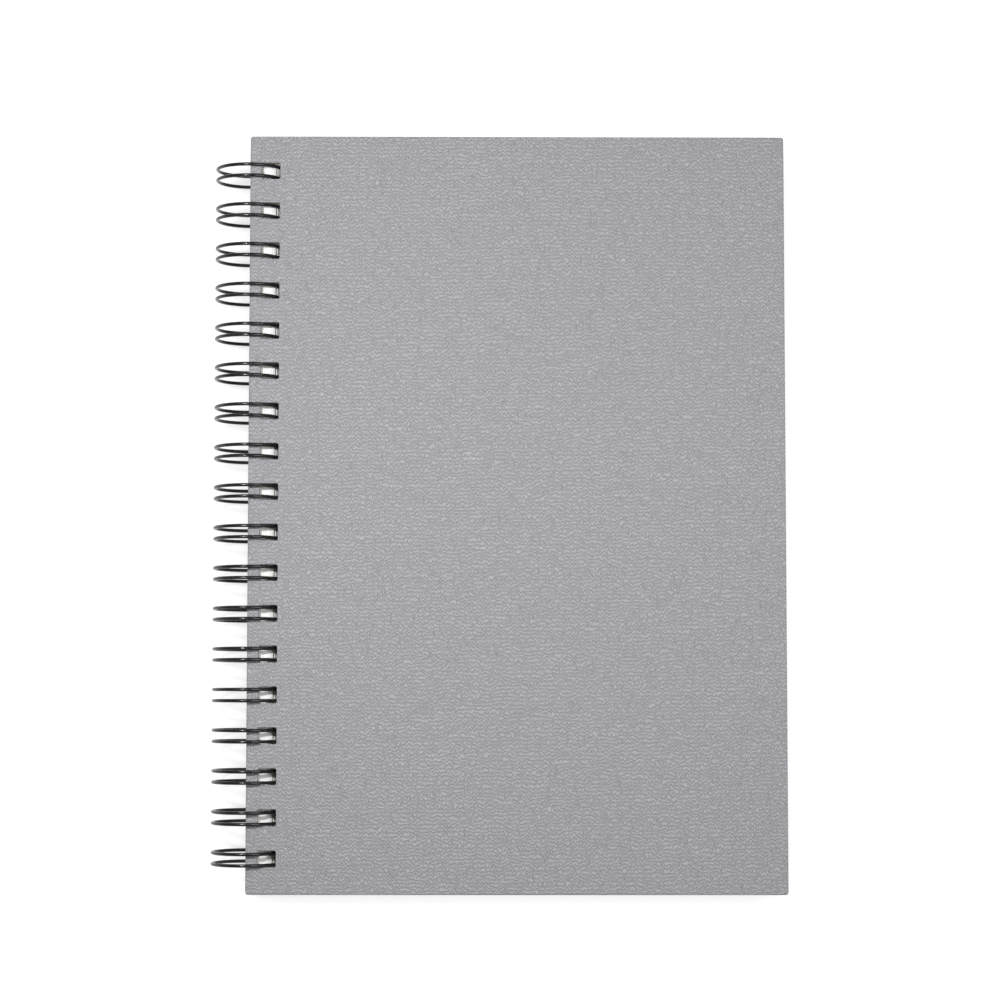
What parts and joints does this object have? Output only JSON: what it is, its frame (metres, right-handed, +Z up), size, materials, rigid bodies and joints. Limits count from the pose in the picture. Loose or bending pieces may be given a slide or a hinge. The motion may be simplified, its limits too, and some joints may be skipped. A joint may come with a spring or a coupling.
{
  "type": "sketchbook",
  "caption": "Wire-bound sketchbook with stiff grey leatherette covers, punched drawing paper and a black twin-loop wire along the long edge.",
  "frame": {"origin": "middle of the book's box on the surface it lies on", "axes": "+X from the spine to the fore-edge, +Y to the head, +Z up through the closed book"},
  "size_m": [0.1802, 0.238, 0.0221],
  "materials": {
    "leatherette_grey": "fine pebbled grain, satin",
    "greyboard": "raw cut board",
    "endpaper_white": "smooth, matt",
    "drawing_paper": "lightly toothed, matt",
    "black_wire": "gloss black coating"
  },
  "bodies": {
    "back_cover": {"back_cover_board": "greyboard", "back_cover_wrap": "leatherette_grey", "back_endpaper": "endpaper_white", "leaf_bundle_01": "drawing_paper", "leaf_bundle_02": "drawing_paper", "leaf_bundle_03": "drawing_paper", "leaf_bundle_04": "drawing_paper", "leaf_bundle_05": "drawing_paper", "leaf_bundle_06": "drawing_paper", "leaf_bundle_07": "drawing_paper", "leaf_bundle_08": "drawing_paper", "leaf_bundle_09": "drawing_paper"},
    "front_cover": {"front_cover_board": "greyboard", "front_cover_wrap": "leatherette_grey", "front_endpaper": "endpaper_white"},
    "leaf_01": {"leaf_01": "drawing_paper"},
    "leaf_02": {"leaf_02": "drawing_paper"},
    "leaf_03": {"leaf_03": "drawing_paper"},
    "leaf_04": {"leaf_04": "drawing_paper"},
    "wire": {"twin_loop_wire": "black_wire"}
  },
  "joints": [
    {"name": "front_cover_hinge", "type": "hinge", "parent": "back_cover", "child": "front_cover", "pos_m": [-0.07903, 0, 0.01105], "axis": [0, -1, 0], "range_deg": [0, 182]},
    {"name": "leaf_01_hinge", "type": "hinge", "parent": "back_cover", "child": "leaf_01", "pos_m": [-0.07903, 0, 0.01105], "axis": [0, -1, 0], "range_deg": [0, 182]},
    {"name": "leaf_02_hinge", "type": "hinge", "parent": "back_cover", "child": "leaf_02", "pos_m": [-0.07903, 0, 0.01105], "axis": [0, -1, 0], "range_deg": [0, 182]},
    {"name": "leaf_03_hinge", "type": "hinge", "parent": "back_cover", "child": "leaf_03", "pos_m": [-0.07903, 0, 0.01105], "axis": [0, -1, 0], "range_deg": [0, 182]},
    {"name": "leaf_04_hinge", "type": "hinge", "parent": "back_cover", "child": "leaf_04", "pos_m": [-0.07903, 0, 0.01105], "axis": [0, -1, 0], "range_deg": [0, 182]},
    {"name": "wire_roll", "type": "hinge", "parent": "back_cover", "child": "wire", "pos_m": [-0.07903, 0, 0.01105], "axis": [0, -1, 0], "range_deg": [-45, 13]}
  ],
  "couplings": [
    {"joint": "leaf_01_hinge", "follows": "front_cover_hinge", "ratio": 0.992},
    {"joint": "leaf_02_hinge", "follows": "front_cover_hinge", "ratio": 0.984},
    {"joint": "leaf_03_hinge", "follows": "front_cover_hinge", "ratio": 0.976},
    {"joint": "leaf_04_hinge", "follows": "front_cover_hinge", "ratio": 0.968}
  ]
}
